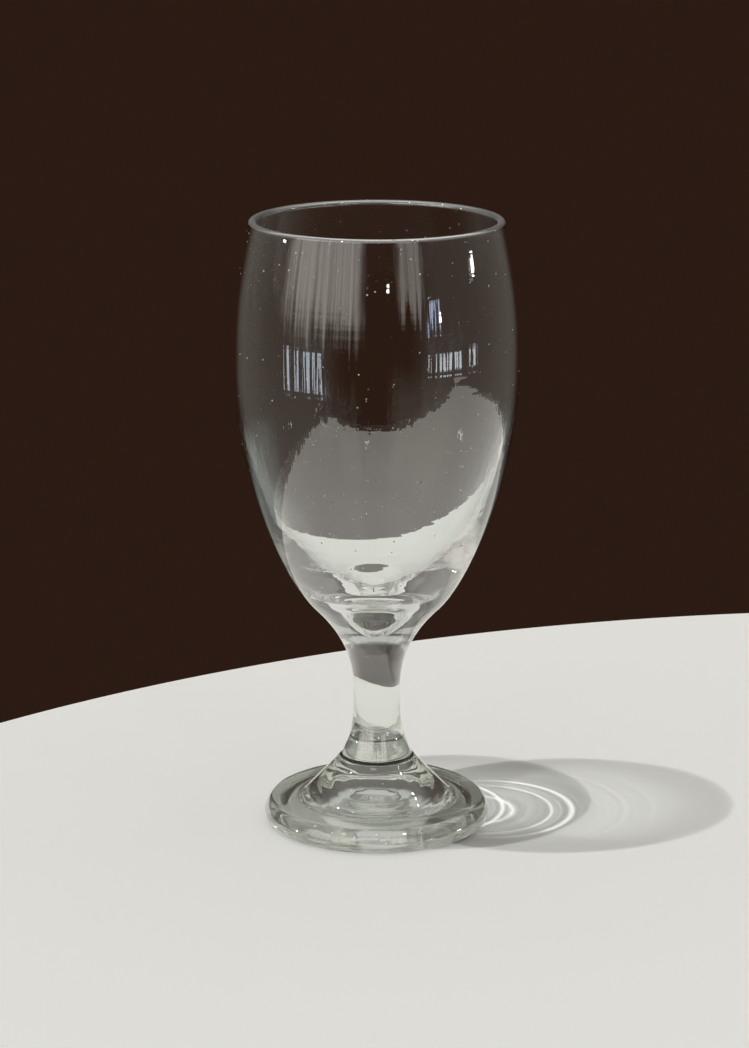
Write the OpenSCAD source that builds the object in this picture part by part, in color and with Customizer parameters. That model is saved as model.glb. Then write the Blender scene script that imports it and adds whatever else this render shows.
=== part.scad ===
// Water goblet: a blown bowl on a drawn solid stem and a heavy pressed foot
//
// Millimetres, +Z up. The origin is on the axis, on the surface that the foot rests on.
// Each piece is a solid of revolution, and the pieces meet face to face on flat fused joints.
// An outline is a chain of smooth spans between knots. A knot is [radius, height, lean], and
// lean is the angle by which the outline leans outward from straight up, in degrees.

/* [Bowl] */
// Height of the bowl from its joint with the stem to the crown of the lip
bowl_h = 123.5; // [114:0.5:134]
// Diameter of the mouth, measured across the crown of the lip
mouth_d = 70.3; // [62:0.1:78]
// Angle by which the wall closes in at the lip
lip_lean = 12.3; // [6:0.1:18]
// Outside diameter of the bowl at its widest
belly_d = 82.1; // [76:0.1:92]
// Height of the widest place above the joint with the stem
belly_h = 81.3; // [74:0.1:90]
// Outside diameter of the neck, where the bowl spreads out above the stem
neck_d = 37.3; // [33:0.1:41]
// Height of the neck above the joint with the stem
neck_h = 10.7; // [9:0.1:13]
// Lean of the outside at the neck
neck_lean = 45.8; // [40:0.1:52]

/* [Bowl wall] */
// Thickness of the rounded lip
lip_t = 2.2; // [1.6:0.1:3]
// Thickness of the wall at the widest place
belly_t = 1.85; // [1.4:0.05:2.8]
// Height above the joint at which the wall begins to thicken towards the bottom
heel_h = 39.7; // [36:0.1:44]
// Level thickness of the wall at the heel
heel_t = 3.8; // [3:0.1:4.6]
// Lean of the inside at the heel
heel_lean = 23.1; // [18:0.1:28]

/* [Bowl bottom] */
// Inside diameter at the foot of the steep inside shoulder
shoulder_d = 24.3; // [22:0.1:27]
// Height of that shoulder above the joint
shoulder_h = 17.3; // [16.5:0.1:20]
// Lean of the inside at the shoulder
shoulder_lean = 69.2; // [62:0.1:74]
// Inside diameter at the mouth of the dimple in the bottom
dimple_d = 16.2; // [14:0.1:19]
// Height of the dimple's mouth above the joint
dimple_h = 14.4; // [13:0.1:15.5]
// Lean of the inside at the dimple's mouth
dimple_lean = 32.7; // [26:0.1:40]
// Thickness of the solid glass under the tip of the dimple, down to the joint
floor_t = 5.4; // [3.5:0.1:7]

/* [Stem] */
// Length of the stem between its two joints
stem_len = 34.8; // [28:0.1:42]
// Diameter of the stem at its waist
waist_d = 13.5; // [11:0.1:16]
// Height of the waist above the joint with the foot
waist_h = 19.8; // [16:0.1:23]
// Diameter of the joint between the stem and the bowl
bowl_joint_d = 20.6; // [19:0.1:23]
// Lean of the outside where the stem meets the bowl
bowl_joint_lean = 28.2; // [20:0.1:34]
// Diameter of the joint between the stem and the foot
foot_joint_d = 21.1; // [18:0.1:25]
// Angle by which the stem spreads out where it meets the foot
stem_flare = 25.3; // [16:0.1:32]

/* [Foot] */
// Outside diameter of the foot
foot_d = 66.2; // [62:0.1:76]
// Height of the foot's brim above the surface that it rests on
brim_h = 7; // [6:0.1:8.5]
// Height of the cone between the brim and the stem
hub_h = 12.7; // [10:0.1:16]
// Diameter of the cone where it meets the brim
hub_d = 45; // [40:0.5:50]
// Length of the soft blend on each side of the corner between the cone and the brim
hub_blend = 2.4; // [1:0.1:4]
// Width of the rounded edge, from the flat of the brim to the outside
edge_w = 2.9; // [2:0.1:4.5]
// Height of the outermost line of the edge
edge_h = 2.9; // [2:0.1:4]
// Width by which the edge turns in underneath
edge_under_w = 1.9; // [1:0.1:3]
// Width of the flat ring that the goblet rests on
ring_w = 2.6; // [1.5:0.1:4]
// Depth of the hollow under the foot, at its middle
hollow_h = 7.5; // [6:0.1:9]
// Diameter and depth of the hollow where it is nearly level, under the brim
hollow_low_d = 36; // [32:0.5:42]
hollow_low_h = 2; // [1.5:0.1:3]
// Diameter and depth of the hollow where it is steepest, under the hub
hollow_steep_d = 22; // [19:0.5:25]
hollow_steep_h = 4.5; // [3.8:0.1:5.5]
// Lean of the hollow where it is steepest
hollow_steep_lean = -52; // [-60:1:-44]

/* [Hidden] */

// Pale grey-green glass
glass_tint = [0.78, 0.85, 0.80, 0.6];
// Facets round each piece
$fn = 128;
// Points along each span, and along each rounded arc
span_steps = 16;
arc_steps = 12;

// Heights at which the pieces meet
foot_joint_z = brim_h + hub_h;
bowl_joint_z = foot_joint_z + stem_len;
rim_z = bowl_joint_z + bowl_h;

// How far the tangents reach at the two ends of a span, as shares of its chord
stem_low_shares = [0.35, 0.57];
stem_high_shares = [0.38, 0.31];
neck_shares = [0.341, 0.377];
bowl_low_shares = [0.165, 0.40];
bowl_high_shares = [0.36, 0.465];
dimple_shares = [0.171, 0.587];
step_shares = [0.34, 0.649];
shoulder_shares = [0.211, 0.385];
wall_low_shares = [0.304, 0.378];
wall_high_shares = [0.34, 0.45];
// The same for the rounded edge of the foot, for the blend at its hub and for its hollow
edge_low_shares = [0.39, 0.39];
edge_high_shares = [0.27, 0.27];
blend_shares = [0.36, 0.36];
hollow_rim_shares = [0.33, 0.33];
hollow_step_shares = [0.33, 0.33];
hollow_top_shares = [0.33, 0.4];
// Slopes of the hollow where it leaves the resting ring and where it is nearly level, as leans
hollow_lean = -60;
hollow_low_lean = -80;

// Knots of the outside, from the foot joint up
foot_joint_knot = [foot_joint_d / 2, foot_joint_z, -stem_flare];
waist_knot = [waist_d / 2, foot_joint_z + waist_h, 0];
bowl_joint_knot = [bowl_joint_d / 2, bowl_joint_z, bowl_joint_lean];
neck_knot = [neck_d / 2, bowl_joint_z + neck_h, neck_lean];
belly_knot = [belly_d / 2, bowl_joint_z + belly_h, 0];

// The lip is a half round between the outside and the inside of the wall
lip_r = lip_t / 2;
lip_centre = [mouth_d / 2, rim_z - lip_r];
lip_side = lip_r * [cos(lip_lean), sin(lip_lean)];
lip_out_knot = concat(lip_centre + lip_side, -lip_lean);
lip_in_knot = concat(lip_centre - lip_side, -lip_lean);

// Point at t, from 0 to 1, on the cubic curve that the four points a to d control
function cubic(a, b, c, d, t) =
    pow(1 - t, 3) * a + 3 * t * pow(1 - t, 2) * b + 3 * pow(t, 2) * (1 - t) * c + pow(t, 3) * d;

// Upward direction that leans outward by an angle
function leaning(angle) = [sin(angle), cos(angle)];

// Points of the span from the lower knot to the upper one
function span(low, high, shares) =
    let (
        start = [low[0], low[1]],
        end = [high[0], high[1]],
        chord = norm(end - start),
        start_tip = start + shares[0] * chord * leaning(low[2]),
        end_tip = end - shares[1] * chord * leaning(high[2])
    )
    [for (i = [0 : span_steps]) cubic(start, start_tip, end_tip, end, i / span_steps)];

// Points of a rounded arc about a centre, between two angles
function arc(centre, radius, from, to) =
    [for (i = [0 : arc_steps])
        let (angle = from + (to - from) * i / arc_steps)
        centre + radius * [cos(angle), sin(angle)]];

// The same points in the opposite order
function reversed(points) = [for (i = [len(points) - 1 : -1 : 0]) points[i]];

// Outside of the bowl, from the stem joint up to the lip
bowl_outside = concat(
    span(bowl_joint_knot, neck_knot, neck_shares),
    span(neck_knot, belly_knot, bowl_low_shares),
    span(belly_knot, lip_out_knot, bowl_high_shares)
);

// Radius of the bowl's outside at a height
function outside_r(height) = lookup(height, [for (p = bowl_outside) [p[1], p[0]]]);

// Knots of the inside, from the tip of the dimple up; the wall keeps its thickness
heel_z = bowl_joint_z + heel_h;
tip_knot = [0, bowl_joint_z + floor_t, 90];
dimple_knot = [dimple_d / 2, bowl_joint_z + dimple_h, dimple_lean];
shoulder_knot = [shoulder_d / 2, bowl_joint_z + shoulder_h, shoulder_lean];
heel_knot = [outside_r(heel_z) - heel_t, heel_z, heel_lean];
inner_belly_knot = [belly_d / 2 - belly_t, bowl_joint_z + belly_h, 0];

// Inside of the bowl, from the tip of the dimple up to the lip
bowl_inside = concat(
    span(tip_knot, dimple_knot, dimple_shares),
    span(dimple_knot, shoulder_knot, step_shares),
    span(shoulder_knot, heel_knot, shoulder_shares),
    span(heel_knot, inner_belly_knot, wall_low_shares),
    span(inner_belly_knot, lip_in_knot, wall_high_shares)
);

// Outside of the stem, from the foot joint up to the bowl joint
stem_outside = concat(
    span(foot_joint_knot, waist_knot, stem_low_shares),
    span(waist_knot, bowl_joint_knot, stem_high_shares)
);

// Cone of the foot: its slope, and the two ends of its blend into the brim
foot_r = foot_d / 2;
hub_corner = [hub_d / 2, brim_h];
hub_top = [foot_joint_d / 2, foot_joint_z];
hub_lean = atan2(hub_top[0] - hub_corner[0], hub_top[1] - hub_corner[1]);
hub_blend_high_knot = concat(hub_corner + hub_blend * leaning(hub_lean), hub_lean);
hub_blend_low_knot = [hub_d / 2 + hub_blend, brim_h, -90];

// Edge of the foot: the end of the brim's flat, the outermost line and the turn underneath
shoulder_edge_knot = [foot_r - edge_w, brim_h, -90];
outermost_knot = [foot_r, edge_h, 0];
underneath_knot = [foot_r - edge_under_w, 0, 90];

// Hollow under the foot, inside the ring that it rests on
ring_inner_r = foot_r - edge_under_w - ring_w;
hollow_edge_knot = [ring_inner_r, 0, hollow_lean];
hollow_low_knot = [hollow_low_d / 2, hollow_low_h, hollow_low_lean];
hollow_steep_knot = [hollow_steep_d / 2, hollow_steep_h, hollow_steep_lean];
hollow_top_knot = [0, hollow_h, -90];

// Underside and outside of the foot, from the middle of the hollow round to the hub
foot_outside = concat(
    reversed(span(hollow_steep_knot, hollow_top_knot, hollow_top_shares)),
    reversed(span(hollow_low_knot, hollow_steep_knot, hollow_step_shares)),
    reversed(span(hollow_edge_knot, hollow_low_knot, hollow_rim_shares)),
    span(underneath_knot, outermost_knot, edge_low_shares),
    span(outermost_knot, shoulder_edge_knot, edge_high_shares),
    span(hub_blend_low_knot, hub_blend_high_knot, blend_shares),
    [hub_top]
);

// Blown bowl with its fire-rounded lip and its thick, dimpled bottom
module bowl() {
    color(glass_tint)
    rotate_extrude()
    polygon(concat(
        [[0, bowl_joint_z]],
        bowl_outside,
        arc(lip_centre, lip_r, lip_lean, lip_lean + 180),
        reversed(bowl_inside)
    ));
}

// Solid stem, drawn in to a waist
module stem() {
    color(glass_tint)
    rotate_extrude()
    polygon(concat(
        [[0, foot_joint_z]],
        stem_outside,
        [[0, bowl_joint_z]]
    ));
}

// Heavy foot: a disc with a rounded edge, a conical hub and a hollow underneath
module foot() {
    color(glass_tint)
    rotate_extrude()
    polygon(concat(
        foot_outside,
        [[0, foot_joint_z]]
    ));
}

bowl();
stem();
foot();
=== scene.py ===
import math

import bpy
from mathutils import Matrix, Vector, noise


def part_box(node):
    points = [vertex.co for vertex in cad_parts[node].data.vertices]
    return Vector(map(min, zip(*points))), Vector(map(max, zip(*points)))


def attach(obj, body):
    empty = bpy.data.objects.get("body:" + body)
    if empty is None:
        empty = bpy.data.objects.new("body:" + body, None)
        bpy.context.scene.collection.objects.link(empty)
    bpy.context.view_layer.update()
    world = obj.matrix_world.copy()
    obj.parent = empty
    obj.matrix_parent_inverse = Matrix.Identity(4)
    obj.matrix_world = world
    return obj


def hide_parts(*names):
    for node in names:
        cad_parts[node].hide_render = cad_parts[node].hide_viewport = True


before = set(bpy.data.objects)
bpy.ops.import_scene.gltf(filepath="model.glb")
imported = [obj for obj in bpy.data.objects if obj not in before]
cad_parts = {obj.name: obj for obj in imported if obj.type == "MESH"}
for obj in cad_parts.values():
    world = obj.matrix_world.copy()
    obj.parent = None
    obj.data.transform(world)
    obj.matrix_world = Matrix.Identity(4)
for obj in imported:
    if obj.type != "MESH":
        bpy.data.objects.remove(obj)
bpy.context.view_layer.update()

# Lengths are in millimetres and angles in degrees, and what goes into Blender is in metres
MM = 0.001

# Places that come from the frame. The belly keeps a margin inside it, for its unevenness
BELLY_MARGIN = 0.03
bowl_top, stem_top, foot_top = (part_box(node)[1] for node in ("bowl", "stem", "foot"))
FOOT_JOINT_Z = foot_top.z / MM
BOWL_JOINT_Z = stem_top.z / MM
RIM_Z = bowl_top.z / MM
BELLY_R = bowl_top.x / MM - BELLY_MARGIN
FOOT_R = foot_top.x / MM

# Bowl, outside. Heights are above the joint with the stem
MOUTH_R = 35.15
LIP_LEAN = 12.3
LIP_R = 1.1
BELLY_H = 81.3
NECK_R = 18.65
NECK_H = 10.7
NECK_LEAN = 45.8

# Bowl, inside
BELLY_T = 1.85
HEEL_H = 39.7
HEEL_T = 3.8
HEEL_LEAN = 23.1
SHOULDER_R = 12.15
SHOULDER_H = 17.3
SHOULDER_LEAN = 69.2
DIMPLE_R = 8.1
DIMPLE_H = 14.4
DIMPLE_LEAN = 32.7
BOTTOM_T = 5.4

# Stem
WAIST_R = 6.75
WAIST_H = 19.8
BOWL_JOINT_R = 10.3
BOWL_JOINT_LEAN = 28.2
FOOT_JOINT_R = 10.55
STEM_FLARE = 25.3

# Foot
BRIM_H = 7.0
HUB_R = 22.5
HUB_BLEND = 2.4
EDGE_W = 2.9
EDGE_H = 2.9
EDGE_UNDER_W = 1.9
RING_W = 2.6

# Hollow under the foot: its slope at the ring, its level and steep knots, and its depth
HOLLOW_LEAN = -60
HOLLOW_LOW = (18, 2, -80)
HOLLOW_STEEP = (11, 4.5, -52)
HOLLOW_H = 7.5

# How far the tangents reach at the two ends of a span, as shares of its chord
NECK_SHARES = (0.341, 0.377)
BOWL_LOW_SHARES = (0.165, 0.40)
BOWL_HIGH_SHARES = (0.36, 0.465)
DIMPLE_SHARES = (0.171, 0.587)
STEP_SHARES = (0.34, 0.649)
SHOULDER_SHARES = (0.211, 0.385)
WALL_LOW_SHARES = (0.304, 0.378)
WALL_HIGH_SHARES = (0.34, 0.45)
STEM_LOW_SHARES = (0.35, 0.57)
STEM_HIGH_SHARES = (0.38, 0.31)
HOLLOW_SHARES = (0.33, 0.33)
HOLLOW_TOP_SHARES = (0.33, 0.4)
EDGE_LOW_SHARES = (0.39, 0.39)
EDGE_HIGH_SHARES = (0.27, 0.27)
BLEND_SHARES = (0.36, 0.36)

# The cavity's offset from the axis, the height over the joint up to which it is full, and the
# run over which it then fades
CAVITY_OFF = -0.237
OFF_H, OFF_RUN = 45, 40

# Joints: the crease round the foot's joint, and the hair of space between two joined faces
CREASE_R = 0.5
JOINT_GAP = 0.01

# Unevenness of the glass: how far the surface swells, and the length of one swell
BOWL_SWELL, BOWL_SWELL_PITCH = 0.05, 22
STEM_SWELL, STEM_SWELL_PITCH = 0.04, 9
FOOT_SWELL, FOOT_SWELL_PITCH = 0.33, 9
# Faint rings round the bowl: their height, radians per millimetre, and the radians by which
# they wander in swells of a length
BOWL_RING, BOWL_RING_RATE = 0.006, 2.3
BOWL_RING_WANDER, BOWL_RING_PITCH = 3, 30
# Faint ridges round the hollow under the foot: height, pitch, and how they wander
RIDGE, RIDGE_PITCH = 0.14, 2.8
RIDGE_WANDER, RIDGE_WANDER_PITCH = 2, 14
# The unevenness fades within these radii of the axis and these distances from a joint
AXIS_FADE, FOOT_AXIS_FADE = 6, 12
STEM_JOINT_FADE, FOOT_JOINT_FADE = 4, 3

# Points along a span, a span of the hollow, the step in the bowl and the foot's small curves
SPAN_STEPS = 36
HOLLOW_STEPS = 16
STEP_STEPS = 20
ARC_STEPS = 14
EDGE_LOW_STEPS = 12
EDGE_HIGH_STEPS = 16
BLEND_STEPS = 12
HUB_STEPS = 14
BRIM_STEPS = 8
RING_STEPS = 3
CAP_STEPS = 4
# Points round each ring, and the corner angle from which an edge is sharp
SEGMENTS = 288
SHARP_ANGLE = 40
# A length too small to matter
TINY = 1e-6

# Material slots of a piece
OUTSIDE, FUSED, THIRD, FOURTH = range(4)


# Outlines
def leaning(angle):
    """Upward direction that leans outward by an angle."""
    a = math.radians(angle)
    return Vector((math.sin(a), math.cos(a)))


def cubic(a, b, c, d, t):
    """Point at t, from 0 to 1, on the cubic curve that four points control."""
    s = 1 - t
    return s**3 * a + 3 * t * s**2 * b + 3 * t**2 * s * c + t**3 * d


def span(low, high, shares, steps=SPAN_STEPS):
    """Points of a smooth span between two knots, each (radius, height, lean)."""
    start, end = Vector(low[:2]), Vector(high[:2])
    chord = (end - start).length
    start_tip = start + shares[0] * chord * leaning(low[2])
    end_tip = end - shares[1] * chord * leaning(high[2])
    return [cubic(start, start_tip, end_tip, end, i / steps) for i in range(steps + 1)]


def arc(centre, radius, start, stop, steps=ARC_STEPS):
    """Points of a round arc, between two angles."""
    points = []
    for i in range(steps + 1):
        a = math.radians(start + (stop - start) * i / steps)
        points.append(Vector(centre) + radius * Vector((math.cos(a), math.sin(a))))
    return points


def line(a, b, steps):
    """Points of a straight line."""
    return [Vector(a).lerp(Vector(b), i / steps) for i in range(steps + 1)]


def chain(*parts):
    """Joins runs of points, and drops the doubled point where two runs meet."""
    points = []
    for part in parts:
        for p in part:
            p = Vector(p)
            if not points or (p - points[-1]).length > TINY:
                points.append(p)
    return points


def lookup_radius(points, height):
    """Radius of an outline at a height."""
    for a, b in zip(points, points[1:]):
        if min(a.y, b.y) <= height <= max(a.y, b.y) and a.y != b.y:
            return a.x + (b.x - a.x) * (height - a.y) / (b.y - a.y)
    raise ValueError("height is outside the outline")


def bowl_outline():
    """The bowl from the middle of its joint, up the outside, over the lip and down the inside.

    Gives the points, the bands of the other material slots, and the first point of the inside.
    """
    lip_angle = math.radians(LIP_LEAN)
    side = LIP_R * Vector((math.cos(lip_angle), math.sin(lip_angle)))
    centre = Vector((MOUTH_R, RIM_Z - LIP_R))
    lip_out, lip_in = centre + side, centre - side
    joint = (BOWL_JOINT_R, BOWL_JOINT_Z, BOWL_JOINT_LEAN)
    neck = (NECK_R, BOWL_JOINT_Z + NECK_H, NECK_LEAN)
    belly = (BELLY_R, BOWL_JOINT_Z + BELLY_H, 0)
    outside = chain(
        span(joint, neck, NECK_SHARES),
        span(neck, belly, BOWL_LOW_SHARES),
        span(belly, (*lip_out, -LIP_LEAN), BOWL_HIGH_SHARES),
    )
    heel_z = BOWL_JOINT_Z + HEEL_H
    tip = (0, BOWL_JOINT_Z + BOTTOM_T, 90)
    dimple = (DIMPLE_R, BOWL_JOINT_Z + DIMPLE_H, DIMPLE_LEAN)
    shoulder = (SHOULDER_R, BOWL_JOINT_Z + SHOULDER_H, SHOULDER_LEAN)
    heel = (lookup_radius(outside, heel_z) - HEEL_T, heel_z, HEEL_LEAN)
    inner_belly = (BELLY_R - BELLY_T, BOWL_JOINT_Z + BELLY_H, 0)
    inside = chain(
        span(tip, dimple, DIMPLE_SHARES),
        span(dimple, shoulder, STEP_SHARES, STEP_STEPS),
        span(shoulder, heel, SHOULDER_SHARES),
        span(heel, inner_belly, WALL_LOW_SHARES),
        span(inner_belly, (*lip_in, -LIP_LEAN), WALL_HIGH_SHARES),
    )
    cap = line((0, BOWL_JOINT_Z), (BOWL_JOINT_R, BOWL_JOINT_Z), CAP_STEPS)
    lip = arc(centre, LIP_R, LIP_LEAN, LIP_LEAN + 180)
    wall = chain(cap, outside, lip)
    points = chain(wall, reversed(inside))
    turn = len(wall) - 1
    bands = (
        (0, len(cap) - 1, FUSED),
        (len(wall) - len(lip), turn, FOURTH),
        (turn, len(points) - 1, THIRD),
    )
    return points, bands, turn


def stem_outline():
    """The stem from the middle of its lower joint, up the outside, to that of its upper one."""
    top_z = BOWL_JOINT_Z - JOINT_GAP
    low = (FOOT_JOINT_R, FOOT_JOINT_Z, -STEM_FLARE)
    waist = (WAIST_R, FOOT_JOINT_Z + WAIST_H, 0)
    high = (BOWL_JOINT_R, top_z, BOWL_JOINT_LEAN)
    crease = Vector((FOOT_JOINT_R - CREASE_R, FOOT_JOINT_Z))
    flare = [p for p in span(low, waist, STEM_LOW_SHARES) if p.y > FOOT_JOINT_Z + CREASE_R]
    outside = chain([crease], flare, span(waist, high, STEM_HIGH_SHARES))
    low_cap = line((0, FOOT_JOINT_Z), crease, CAP_STEPS)
    high_cap = line((BOWL_JOINT_R, top_z), (0, top_z), CAP_STEPS)
    points = chain(low_cap, outside, high_cap)
    first, last = len(low_cap) - 1, len(points) - len(high_cap)
    # The third band is the narrow ring of faces in the crease over the foot, which gets the
    # painted shade
    bands = ((0, first, FUSED), (first, first + 1, THIRD), (last, len(points) - 1, FUSED))
    return points, bands


def foot_outline():
    """The foot from the middle of its hollow, over the ring and the edge, up to its joint."""
    corner = Vector((HUB_R, BRIM_H))
    top = Vector((FOOT_JOINT_R, FOOT_JOINT_Z - JOINT_GAP))
    slope = top - corner
    hub_lean = math.degrees(math.atan2(slope.x, slope.y))
    blend_high = (*(corner + HUB_BLEND * leaning(hub_lean)), hub_lean)
    blend_low = (HUB_R + HUB_BLEND, BRIM_H, -90)
    shoulder = (FOOT_R - EDGE_W, BRIM_H, -90)
    outermost = (FOOT_R, EDGE_H, 0)
    underneath = (FOOT_R - EDGE_UNDER_W, 0, 90)
    ring_inner = FOOT_R - EDGE_UNDER_W - RING_W
    hollow = chain(
        span((ring_inner, 0, HOLLOW_LEAN), HOLLOW_LOW, HOLLOW_SHARES, HOLLOW_STEPS),
        span(HOLLOW_LOW, HOLLOW_STEEP, HOLLOW_SHARES, HOLLOW_STEPS),
        span(HOLLOW_STEEP, (0, HOLLOW_H, -90), HOLLOW_TOP_SHARES, HOLLOW_STEPS),
    )
    crease = top - Vector((CREASE_R, 0))
    below = top - CREASE_R * slope.normalized()
    cap = line(crease, (0, top.y), CAP_STEPS)
    points = chain(
        reversed(hollow),
        line((ring_inner, 0), underneath[:2], RING_STEPS),
        span(underneath, outermost, EDGE_LOW_SHARES, EDGE_LOW_STEPS),
        span(outermost, shoulder, EDGE_HIGH_SHARES, EDGE_HIGH_STEPS),
        line(shoulder[:2], blend_low[:2], BRIM_STEPS),
        span(blend_low, blend_high, BLEND_SHARES, BLEND_STEPS),
        line(blend_high[:2], below, HUB_STEPS),
        cap,
    )
    last = len(points) - len(cap)
    # The third band is the narrow ring of faces running into the crease under the stem, which
    # gets the painted shade
    return points, ((last - 1, last, THIRD), (last, len(points) - 1, FUSED))


# Unevenness of the glass
def swell(x, y, z, pitch, seed):
    """Smooth noise with about one swell in each pitch."""
    return noise.noise(Vector((x, y, z)) / pitch + Vector((seed, seed * 0.37, -seed)))


# Each of these takes a point of the true shape and its ring's number, and gives the point's
# move outward and along x
def bowl_uneven(r, x, y, z, ring):
    wander = BOWL_RING_WANDER * swell(x, y, z, BOWL_RING_PITCH, seed=4)
    rings = BOWL_RING * math.sin(z * BOWL_RING_RATE + wander)
    dr = rings + BOWL_SWELL * swell(x, y, z, BOWL_SWELL_PITCH, seed=2)
    dx = 0
    if ring > bowl_turn:
        share = min(1, max(0, 1 - (z - BOWL_JOINT_Z - OFF_H) / OFF_RUN))
        dx = CAVITY_OFF * share * share * (3 - 2 * share)
    return dr * min(1, r / AXIS_FADE), dx


def stem_uneven(r, x, y, z, ring):
    from_joint = min(z - FOOT_JOINT_Z, BOWL_JOINT_Z - z)
    held = min(1, from_joint / STEM_JOINT_FADE)
    return STEM_SWELL * swell(x, y, z, STEM_SWELL_PITCH, seed=5) * held, 0


def foot_uneven(r, x, y, z, ring):
    held = min(1, max(0, FOOT_JOINT_Z - z) / FOOT_JOINT_FADE) * min(1, r / FOOT_AXIS_FADE)
    dr = FOOT_SWELL * swell(x, y, z, FOOT_SWELL_PITCH, seed=7) * held
    if ring < 3 * HOLLOW_STEPS:
        wander = RIDGE_WANDER * swell(x, y, z, RIDGE_WANDER_PITCH, seed=3)
        wave = math.sin(2 * math.pi * r / RIDGE_PITCH + wander)
        dr += RIDGE * wave * min(1, r / AXIS_FADE)
    return dr, 0


# Meshes
def new_object(name, data):
    """An object of some data, in the scene."""
    thing = bpy.data.objects.new(name, data)
    bpy.context.collection.objects.link(thing)
    return thing


def signed_volume(mesh):
    """Sum whose sign says whether the faces look outward."""
    co = [v.co for v in mesh.vertices]
    return sum(co[f.vertices[0]].cross(co[f.vertices[1]]).dot(f.center) for f in mesh.polygons)


def lathe(name, outline, bands, uneven, materials):
    """A closed mesh of an outline turned about the axis.

    bands are (first ring, last ring, slot) for the faces that aren't in the first material slot.
    """
    points, rings = [], []
    for index, p in enumerate(outline):
        if p.x < TINY:
            rings.append([len(points)])
            points.append(Vector((uneven(0, 0, 0, p.y, index)[1], 0, p.y)) * MM)
            continue
        rings.append(list(range(len(points), len(points) + SEGMENTS)))
        for i in range(SEGMENTS):
            a = 2 * math.pi * i / SEGMENTS
            x, y = p.x * math.cos(a), p.x * math.sin(a)
            dr, dx = uneven(p.x, x, y, p.y, index)
            scale = (p.x + dr) / p.x
            points.append(Vector((x * scale + dx, y * scale, p.y)) * MM)
    faces, slots = [], []
    for k, (a, b) in enumerate(zip(rings, rings[1:])):
        slot = next((band[2] for band in bands if band[0] <= k < band[1]), OUTSIDE)
        for i in range(SEGMENTS):
            j = (i + 1) % SEGMENTS
            if len(a) == 1:
                faces.append((a[0], b[i], b[j]))
            elif len(b) == 1:
                faces.append((a[i], b[0], a[j]))
            else:
                faces.append((a[i], b[i], b[j], a[j]))
            slots.append(slot)
    mesh = bpy.data.meshes.new(name)
    mesh.from_pydata(points, [], faces)
    for material in materials:
        mesh.materials.append(material)
    mesh.polygons.foreach_set("material_index", slots)
    mesh.update()
    if signed_volume(mesh) < 0:
        mesh.flip_normals()
    mesh.shade_smooth()
    mesh.set_sharp_from_angle(angle=math.radians(SHARP_ANGLE))
    return new_object(name, mesh)


# Node trees
class Tree:
    """The nodes of a material or of the world, with short ways to add and join them."""

    def __init__(self, owner):
        owner.use_nodes = True
        self.nodes, self.links = owner.node_tree.nodes, owner.node_tree.links
        self.nodes.clear()

    def add(self, kind, **settings):
        node = self.nodes.new("ShaderNode" + kind)
        for name, value in settings.items():
            setattr(node, name, value)
        return node

    def put(self, value, socket):
        """Joins an output to a socket, or sets the socket to a number, a vector or a colour."""
        if isinstance(value, bpy.types.NodeSocket):
            self.links.new(value, socket)
        elif socket.type == "RGBA":
            socket.default_value = (*value, 1)
        else:
            socket.default_value = value

    def calc(self, operation, *values, clamp=False):
        node = self.add("Math", operation=operation, use_clamp=clamp)
        for value, socket in zip(values, node.inputs):
            self.put(value, socket)
        return node.outputs[0]

    def ramp(self, value, low, high, first=0, last=1, smooth=True):
        """Goes from first to last as the value goes from low to high."""
        node = self.add("MapRange", interpolation_type="SMOOTHSTEP" if smooth else "LINEAR")
        ends = {"From Min": low, "From Max": high, "To Min": first, "To Max": last}
        for name, end in ends.items():
            node.inputs[name].default_value = end
        self.put(value, node.inputs["Value"])
        return node.outputs["Result"]

    def blend(self, factor, a, b):
        """Colour between two others."""
        node = self.add("Mix", data_type="RGBA")
        self.put(factor, node.inputs["Factor"])
        self.put(a, node.inputs[6])
        self.put(b, node.inputs[7])
        return node.outputs[2]

    def noise(self, place, detail, scale=1, dimensions="3D"):
        node = self.add("TexNoise", noise_dimensions=dimensions)
        node.inputs["Scale"].default_value = scale
        node.inputs["Detail"].default_value = detail
        self.put(place, node.inputs["W" if dimensions == "1D" else "Vector"])
        return node.outputs["Fac"]

    def stretched_noise(self, place, scale, detail):
        mapping = self.add("Mapping")
        mapping.inputs["Scale"].default_value = scale
        self.put(place, mapping.inputs["Vector"])
        return self.noise(mapping.outputs[0], detail)

    def bump(self, height, depth, normal=None):
        node = self.add("Bump")
        node.inputs["Distance"].default_value = depth
        self.put(height, node.inputs["Height"])
        if normal:
            self.put(normal, node.inputs["Normal"])
        return node.outputs[0]

    def mix_shader(self, factor, a, b):
        node = self.add("MixShader")
        for value, socket in zip((factor, a, b), node.inputs):
            self.put(value, socket)
        return node.outputs[0]

    def transparent(self, colour=None):
        node = self.add("BsdfTransparent")
        if colour:
            self.put(colour, node.inputs["Color"])
        return node.outputs[0]

    def finish_material(self, shader):
        self.put(shader, self.add("OutputMaterial").inputs["Surface"])


# Glass: the index of refraction, and that of the thin layer that gives its surface reflection
GLASS_IOR = 1.52
COAT_IOR = 2.25
# The glass's own reflection fades to a small share between these heights, and above them the
# coat makes it
FAINT_FROM, FAINT_TO, FAINT_SHARE = 100, 150, 0.05
# Streaks up the wall and ripples round it, in waves per metre along x, y and z
STREAK_SCALE = (420, 420, 14)
RIPPLE_SCALE = (14, 14, 620)
# Deeper waves in one zone of the wall, and the heights between which they rise and then fade
WAVE_SCALE = (420, 420, 110)
WAVE_FROM, WAVE_TO = (104, 114), (130, 137)
# Specks in the glass: cells per metre, the largest radius in cells, how many have one, and
# how pale it is
SPECK_SCALE = 420
SPECK_SIZE = 0.12
SPECK_SHARE = 0.5
SPECK_STRENGTH = 0.9
# The shadow is darker where the light meets the glass at a slant: where that begins and is
# full, and the share of the light that is left there
GRAZE_FROM, GRAZE_TO = 0.35, 0.9
EDGE_SHADE = 0.32
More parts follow.
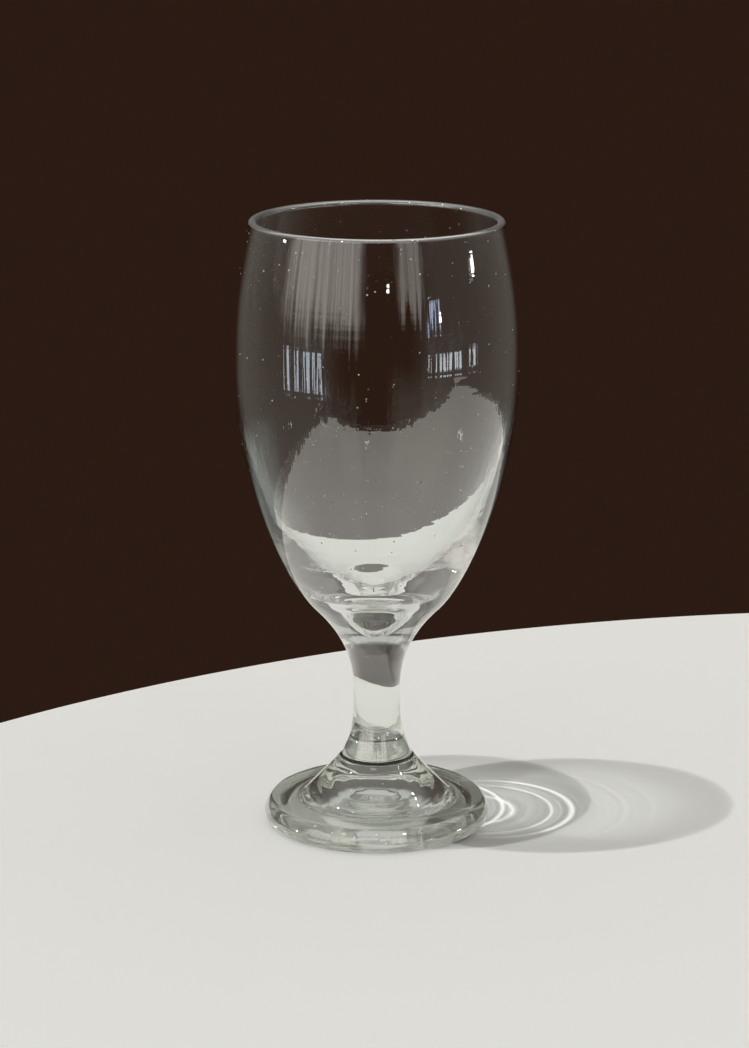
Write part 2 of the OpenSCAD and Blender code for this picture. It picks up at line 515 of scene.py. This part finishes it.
# Faint arcs in the shadow: waves of noise per metre of height, and the part that shows
ARC_PITCH = 420
ARC_FROM, ARC_TO = 0.38, 0.56
# Heights of the bright arcs that the thick bottom throws, half the width of each, and how
# much brighter they are
ARC_HEIGHTS = ((71.8, 0.4), (79.2, 0.5), (81.6, 0.35), (84.6, 1.3))
ARC_LIGHT = 2.4

BOWL_TINT, BOWL_SHADOW = (0.985, 0.995, 0.985), (0.96, 0.97, 0.96)
PALE_HAZE = (0.9, 0.9, 0.88)


def glass_normal(tree, place, z, streaks, ripples, waves):
    """Uneven surface: streaks and ripples all over it, and waves in one zone."""
    normal = tree.bump(tree.stretched_noise(place, STREAK_SCALE, detail=2), streaks)
    normal = tree.bump(tree.stretched_noise(place, RIPPLE_SCALE, detail=1), ripples, normal)
    if not waves:
        return normal
    up = tree.ramp(z, WAVE_FROM[0] * MM, WAVE_FROM[1] * MM)
    down = tree.ramp(z, WAVE_TO[1] * MM, WAVE_TO[0] * MM)
    zone = tree.calc("MULTIPLY", up, down)
    rise = tree.stretched_noise(place, WAVE_SCALE, detail=2)
    return tree.bump(tree.calc("MULTIPLY", zone, rise), waves, normal)


def speck_cover(tree, place, haze):
    """Share of the surface that is pale: the haze all over, and more in the specks."""
    cells = tree.add("TexVoronoi")
    cells.inputs["Scale"].default_value = SPECK_SCALE
    tree.put(place, cells.inputs["Vector"])
    pick = tree.add("SeparateColor")
    tree.put(cells.outputs["Color"], pick.inputs[0])
    size = tree.calc("MULTIPLY", pick.outputs[0], SPECK_SIZE)
    inside = tree.calc("LESS_THAN", cells.outputs["Distance"], size)
    some = tree.calc("GREATER_THAN", pick.outputs[1], 1 - SPECK_SHARE)
    speck = tree.calc("MULTIPLY", tree.calc("MULTIPLY", inside, some), SPECK_STRENGTH)
    return tree.calc("MAXIMUM", speck, haze)


def shadow_colour(tree, z, tint, edge_shade, arcs):
    """Colour that a lamp's light keeps on its way through the surface."""
    graze = tree.add("LayerWeight")
    slant = tree.ramp(graze.outputs["Facing"], GRAZE_FROM, GRAZE_TO)
    rings = tree.noise(tree.calc("MULTIPLY", z, ARC_PITCH), detail=2, dimensions="1D")
    band = tree.ramp(rings, ARC_FROM, ARC_TO, 0, arcs, smooth=False)
    dark = tree.calc("ADD", slant, band, clamp=True)
    colour = tree.blend(dark, tint, tuple(v * edge_shade for v in tint))
    for height, half in ARC_HEIGHTS if arcs else ():
        away = tree.calc("ABSOLUTE", tree.calc("SUBTRACT", z, height * MM))
        brighter = tree.add("VectorMath", operation="SCALE")
        tree.put(colour, brighter.inputs[0])
        tree.put(tree.ramp(away, half * MM, 0, 1, 1 + ARC_LIGHT), brighter.inputs["Scale"])
        colour = brighter.outputs[0]
    return colour


def glass_material(
    name, tint, shadow_tint, streaks, ripples, waves=0, coated=True, coat_ior=COAT_IOR,
    arcs=0, edge_shade=EDGE_SHADE, haze=0, haze_tint=PALE_HAZE,
):
    """Clear glass with an uneven surface and a few pale specks, which a lamp shines through.

    streaks, ripples and waves are depths in metres. The coat is the bright reflection that only
    the air side has. arcs is the strength of the arcs in the shadow, and edge_shade the share
    of the light that is left at a slant. haze is the share of the surface that is pale.
    """
    material = bpy.data.materials.new(name)
    tree = Tree(material)
    place = tree.add("TexCoord").outputs["Object"]
    axes = tree.add("SeparateXYZ")
    tree.put(place, axes.inputs[0])
    z = axes.outputs["Z"]
    glass = tree.add("BsdfPrincipled")
    glass.inputs["Base Color"].default_value = (*tint, 1)
    glass.inputs["Transmission Weight"].default_value = 1
    glass.inputs["IOR"].default_value = GLASS_IOR
    glass.inputs["Roughness"].default_value = 0
    glass.inputs["Coat IOR"].default_value = coat_ior
    glass.inputs["Coat Roughness"].default_value = 0
    if coated:
        back = tree.add("NewGeometry").outputs["Backfacing"]
        tree.put(tree.calc("SUBTRACT", 1, back, clamp=True), glass.inputs["Coat Weight"])
    faint = tree.ramp(z, FAINT_FROM * MM, FAINT_TO * MM, 1, FAINT_SHARE)
    tree.put(faint, glass.inputs["Specular Tint"])
    normal = glass_normal(tree, place, z, streaks, ripples, waves)
    tree.put(normal, glass.inputs["Normal"])
    tree.put(normal, glass.inputs["Coat Normal"])
    pale = tree.add("BsdfDiffuse")
    pale.inputs["Color"].default_value = (*haze_tint, 1)
    cover = speck_cover(tree, place, haze)
    surface = tree.mix_shader(cover, glass.outputs[0], pale.outputs[0])
    lit = tree.transparent(shadow_colour(tree, z, shadow_tint, edge_shade, arcs))
    is_shadow = tree.add("LightPath").outputs["Is Shadow Ray"]
    tree.finish_material(tree.mix_shader(is_shadow, surface, lit))
    return material


def joint_material():
    """The fused face between two pieces, which light crosses unbent."""
    material = bpy.data.materials.new("fused_joint")
    tree = Tree(material)
    tree.finish_material(tree.transparent())
    return material


fused = joint_material()
bowl_glass = glass_material(
    "bowl_glass", BOWL_TINT, BOWL_SHADOW,
    streaks=9e-6, ripples=1.6e-5, waves=1e-4,
)
inside_glass = glass_material(
    "bowl_inside_glass", BOWL_TINT, BOWL_SHADOW,
    streaks=9e-6, ripples=5e-6, coated=False, arcs=0.6,
)
lip_glass = glass_material(
    "lip_glass", BOWL_TINT, BOWL_SHADOW,
    streaks=8e-6, ripples=0, coat_ior=3.2, haze=0.15,
)
stem_glass = glass_material(
    "stem_glass", tint=(0.97, 0.99, 0.955), shadow_tint=(0.88, 0.89, 0.88),
    streaks=6e-6, ripples=1.2e-5, coat_ior=2.5,
)
# Painted shade: nearly black glass on the narrow band in the crease at the foot's joint, which
# draws that crease as a dark line
painted_shade_crease = glass_material(
    "painted_shade_crease", tint=(0.015, 0.017, 0.014), shadow_tint=(0.6, 0.6, 0.6),
    streaks=0, ripples=0, coated=False,
)
foot_glass = glass_material(
    "foot_glass", tint=(0.935, 0.975, 0.895), shadow_tint=(1, 1, 1),
    streaks=1.6e-5, ripples=7e-5, coat_ior=2.4,
    edge_shade=0.9, haze=0.04, haze_tint=(0.86, 0.93, 0.79),
)

# The pieces. In the bowl the third slot is the inside and the fourth the lip; in the stem and
# the foot the third slot is the narrow band in the crease at the foot's joint, nearly black
# glass that paints shade there
bowl_points, bowl_bands, bowl_turn = bowl_outline()
stem_points, stem_bands = stem_outline()
foot_points, foot_bands = foot_outline()
bowl_slots = (bowl_glass, fused, inside_glass, lip_glass)
stem_slots = (stem_glass, fused, painted_shade_crease)
foot_slots = (foot_glass, fused, painted_shade_crease)
bowl = lathe("bowl_glass_body", bowl_points, bowl_bands, bowl_uneven, bowl_slots)
stem = lathe("stem_glass_body", stem_points, stem_bands, stem_uneven, stem_slots)
foot = lathe("foot_glass_body", foot_points, foot_bands, foot_uneven, foot_slots)
for piece, node in ((bowl, "bowl"), (stem, "stem"), (foot, "foot")):
    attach(piece, "root")
    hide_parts(node)

# Floor: a round pale plate with its front cut straight. The goblet stands near its far edge
FLOOR_R = 456
FLOOR_X, FLOOR_Y = 198, -238
FLOOR_FRONT_Y = -330
FLOOR_PLATE_T = 14
FLOOR_SEGMENTS = 240
FLOOR_COLOUR = (0.72, 0.715, 0.69)
FLOOR_IN_GLASS = (0.70, 0.70, 0.655)
FLOOR_ROUGHNESS = 0.9
FLOOR_GLOSS = 0.1


def floor_material():
    """Pale and matt, with a slightly different colour where the glass shows it."""
    material = bpy.data.materials.new("pale_floor")
    tree = Tree(material)
    matt = tree.add("BsdfPrincipled")
    matt.inputs["Roughness"].default_value = FLOOR_ROUGHNESS
    matt.inputs["Specular IOR Level"].default_value = FLOOR_GLOSS
    path = tree.add("LightPath").outputs
    in_glass = tree.calc("MAXIMUM", path["Is Glossy Ray"], path["Is Transmission Ray"])
    colour = tree.blend(in_glass, FLOOR_COLOUR, FLOOR_IN_GLASS)
    tree.put(colour, matt.inputs["Base Color"])
    tree.finish_material(matt.outputs[0])
    return material


def floor_plate():
    start = math.asin((FLOOR_FRONT_Y - FLOOR_Y) / FLOOR_R)
    turn = math.pi - 2 * start
    rim = []
    for i in range(FLOOR_SEGMENTS + 1):
        a = start + turn * i / FLOOR_SEGMENTS
        x, y = FLOOR_X + FLOOR_R * math.cos(a), FLOOR_Y + FLOOR_R * math.sin(a)
        rim.append(Vector((x, y, 0)) * MM)
    under = [p + Vector((0, 0, -FLOOR_PLATE_T * MM)) for p in rim]
    n = len(rim)
    faces = [tuple(range(n)), tuple(reversed(range(n, 2 * n)))]
    faces += [(i, i + n, (i + 1) % n + n, (i + 1) % n) for i in range(n)]
    mesh = bpy.data.meshes.new("table_top")
    mesh.from_pydata(rim + under, [], faces)
    mesh.materials.append(floor_material())
    mesh.update()
    return new_object("table_top", mesh)


floor_plate()

# World. Azimuths are 0 on the camera's side and 90 on the right, and elevations are above level
DARK = (0.0240, 0.0112, 0.0070)
# Brighter to the sides, by the part of a direction that points sideways
SIDES = (0.14, 0.13, 0.115)
SIDES_FROM, SIDES_TO = 0.40, 0.80
# Bright below and beyond the floor, by the parts that point down, away and sideways
UNDER = (0.26, 0.27, 0.25)
UNDER_EDGE = (-0.30, -0.39)
UNDER_AWAY = (0.0, 0.3)
UNDER_SIDE = (0.12, 0.30)
# Bright overhead, by the part that points up, with its edge tilted a little
CEILING = (0.49, 0.49, 0.475)
CEILING_TILT = 0.05
CEILING_FROM, CEILING_TO = 0.50, 0.72

# Panes: azimuth, elevation, half width, half height, soft edge, light, and kind
PLAIN, BARRED, ROUGH = range(3)
PANES = (
    (-46, 17, 32, 16, 14.0, (1.35, 1.28, 1.18), ROUGH),
    (28, 19, 10, 14, 7.0, (0.85, 0.81, 0.74), ROUGH),
    (-3, 31, 26, 4, 5.0, (0.9, 0.86, 0.78), ROUGH),
    (-60, -9.5, 19, 3.2, 1.0, (1.9, 2.2, 2.5), BARRED),
    (64, -8.5, 23, 1.6, 0.8, (2.5, 2.8, 3.0), BARRED),
    (46, 2, 6, 4, 1.0, (1.8, 2.2, 3.0), BARRED),
    (-89, 9, 1.6, 0.8, 0.5, (20, 20, 20), PLAIN),
    (89, 6, 1.6, 0.8, 0.5, (20, 20, 20), PLAIN),
    (9, 10, 1.0, 0.5, 0.4, (14, 14, 13), PLAIN),
    (52, 2, 0.8, 1.0, 0.4, (12, 12, 11.6), PLAIN),
)
# Share of the panes' light that is seen through the glass; its surface reflects all of it
THROUGH = 0.4
# Bars: noise per degree of azimuth and of elevation, and the part of it that is lit
BAR_PITCH, BAR_RISE = 0.55, 0.05
BAR_FROM, BAR_TO = 0.50, 0.58
# Rough panes: their edges wander, their ends are ragged, and streaks run down them
WARP_SCALE, WARP = 9, 8
RAG_PITCH, RAG = 0.22, 22
STREAK_FROM, STREAK_TO, STREAK_DEPTH = 0.35, 0.60, 0.35
# Small round lamps: azimuth and elevation of each, half the angle that each fills, how soft
# its edge is, as a difference of cosines, and its light
LAMPS = ((-90, 50), (-40, 50), (17, 50), (42, 50), (90, 50))
LAMP_HALF = 0.5
LAMP_EDGE = 2e-5
LAMP_LIGHT = (160, 158, 150)


def toward(azimuth, elevation):
    """Direction from the goblet, out to an azimuth and an elevation."""
    a, e = math.radians(azimuth), math.radians(elevation)
    return math.sin(a) * math.cos(e), -math.cos(a) * math.cos(e), math.sin(e)


def surroundings(tree, x, y, z):
    """Smooth light that comes from a direction."""
    sideways = tree.calc("ABSOLUTE", x)
    level = tree.blend(tree.ramp(sideways, SIDES_FROM, SIDES_TO), DARK, SIDES)
    beyond = tree.calc("MULTIPLY", tree.ramp(z, *UNDER_EDGE), tree.ramp(y, *UNDER_AWAY))
    beneath = tree.calc("MULTIPLY", beyond, tree.ramp(sideways, *UNDER_SIDE))
    lower = tree.blend(beneath, level, UNDER)
    tilted = tree.calc("MULTIPLY_ADD", y, CEILING_TILT, z)
    return tree.blend(tree.ramp(tilted, CEILING_FROM, CEILING_TO), lower, CEILING)


def add_panes(tree, light, direction, azimuth, elevation, share):
    """Panes of light over the smooth light."""
    warp = tree.noise(direction, detail=3, scale=WARP_SCALE)
    shift = tree.calc("MULTIPLY", tree.calc("SUBTRACT", warp, 0.5), WARP)
    ragged = tree.noise(tree.calc("MULTIPLY", azimuth, RAG_PITCH), detail=3, dimensions="1D")
    drop = tree.calc("MULTIPLY", tree.calc("SUBTRACT", ragged, 0.5), RAG)
    rough_azimuth = tree.calc("ADD", azimuth, shift)
    rough_elevation = tree.calc("ADD", tree.calc("ADD", elevation, shift), drop)
    streak = tree.ramp(ragged, STREAK_FROM, STREAK_TO)
    streak = tree.calc("MULTIPLY_ADD", streak, STREAK_DEPTH, 1 - STREAK_DEPTH)
    spread = tree.add("CombineXYZ")
    tree.put(tree.calc("MULTIPLY", azimuth, BAR_PITCH), spread.inputs[0])
    tree.put(tree.calc("MULTIPLY", elevation, BAR_RISE), spread.inputs[1])
    barred = tree.noise(spread.outputs[0], detail=1, dimensions="2D")
    bars = tree.ramp(barred, BAR_FROM, BAR_TO)

    def within(angle, centre, half, soft):
        off = tree.calc("ABSOLUTE", tree.calc("SUBTRACT", angle, centre))
        return tree.ramp(off, half + soft / 2, half - soft / 2)

    for centre, height, half_w, half_h, soft, colour, kind in PANES:
        rough = kind == ROUGH
        a, e = (rough_azimuth, rough_elevation) if rough else (azimuth, elevation)
        across, upward = within(a, centre, half_w, soft), within(e, height, half_h, soft)
        mask = tree.calc("MULTIPLY", across, upward)
        if rough:
            mask = tree.calc("MULTIPLY", mask, streak)
        if kind == BARRED:
            mask = tree.calc("MULTIPLY", mask, bars)
        light = tree.blend(tree.calc("MULTIPLY", mask, share), light, colour)
    return light


def add_lamps(tree, light, direction, share):
    """Small bright lamps over the rest."""
    edge = math.cos(math.radians(LAMP_HALF))
    for azimuth, elevation in LAMPS:
        near = tree.add("VectorMath", operation="DOT_PRODUCT")
        tree.put(direction, near.inputs[0])
        near.inputs[1].default_value = toward(azimuth, elevation)
        spot = tree.ramp(near.outputs["Value"], edge - LAMP_EDGE, edge + LAMP_EDGE)
        light = tree.blend(tree.calc("MULTIPLY", spot, share), light, LAMP_LIGHT)
    return light


def world_light():
    """Dark at eye level, brighter at the sides and overhead, with panes of light and lamps.

    The panes and lamps light the glass and show in it, and aren't seen straight on.
    """
    world = bpy.data.worlds.new("dark_surroundings")
    bpy.context.scene.world = world
    tree = Tree(world)
    direction = tree.add("TexCoord").outputs["Generated"]
    axes = tree.add("SeparateXYZ")
    tree.put(direction, axes.inputs[0])
    x, y, z = axes.outputs
    azimuth = tree.calc("DEGREES", tree.calc("ARCTAN2", x, tree.calc("MULTIPLY", y, -1)))
    elevation = tree.calc("DEGREES", tree.calc("ARCSINE", z))
    path = tree.add("LightPath").outputs
    mirrored = tree.calc("SUBTRACT", path["Is Glossy Ray"], path["Is Transmission Ray"])
    mirrored = tree.calc("MAXIMUM", mirrored, 0)
    unseen = tree.calc("SUBTRACT", 1, path["Is Camera Ray"])
    share = tree.calc("MULTIPLY_ADD", mirrored, 1 - THROUGH, THROUGH)
    share = tree.calc("MULTIPLY", share, unseen)
    light = surroundings(tree, x, y, z)
    light = add_panes(tree, light, direction, azimuth, elevation, share)
    light = add_lamps(tree, light, direction, unseen)
    background = tree.add("Background")
    tree.put(light, background.inputs["Color"])
    tree.put(background.outputs[0], tree.add("OutputWorld").inputs["Surface"])


world_light()


def sun(name, azimuth, elevation, strength, angle):
    """A sun from an azimuth and an elevation. angle is how wide it looks."""
    lamp = bpy.data.lights.new(name, "SUN")
    lamp.energy = strength
    lamp.angle = math.radians(angle)
    thing = new_object(name, lamp)
    thing.location = toward(azimuth, elevation)
    thing.rotation_mode = "QUATERNION"
    thing.rotation_quaternion = (-thing.location).to_track_quat("-Z", "Y")


sun("key", -79, 68, strength=1.03, angle=0.6)
sun("high", -57, 79.6, strength=0.97, angle=0.6)

# Camera at the photograph's viewpoint, in metres, degrees and the photograph's pixels
CAMERA_D = 0.87342
CAMERA_H = 0.3179
CAMERA_PITCH = 14.67
FOCAL_PX = 3129.17
FRAME_W = 749
AXIS_PX = 376.8
SENSOR = 36

camera_data = bpy.data.cameras.new("camera")
camera = new_object("camera", camera_data)
camera.location = (0, -CAMERA_D, CAMERA_H)
camera.rotation_euler = (math.radians(90 - CAMERA_PITCH), 0, 0)
camera_data.sensor_fit = "HORIZONTAL"
camera_data.sensor_width = SENSOR
camera_data.lens = FOCAL_PX / FRAME_W * SENSOR
camera_data.shift_x = (FRAME_W / 2 - AXIS_PX) / FRAME_W
bpy.context.scene.camera = camera

# Enough bounces for light to cross the glass many times
BOUNCES = 24
MIRROR_BOUNCES = 12

scene = bpy.context.scene
scene.view_settings.view_transform = "Standard"
scene.cycles.max_bounces = BOUNCES
scene.cycles.transmission_bounces = BOUNCES
scene.cycles.glossy_bounces = MIRROR_BOUNCES
scene.cycles.transparent_max_bounces = BOUNCES
scene.cycles.caustics_reflective = False
scene.cycles.caustics_refractive = False
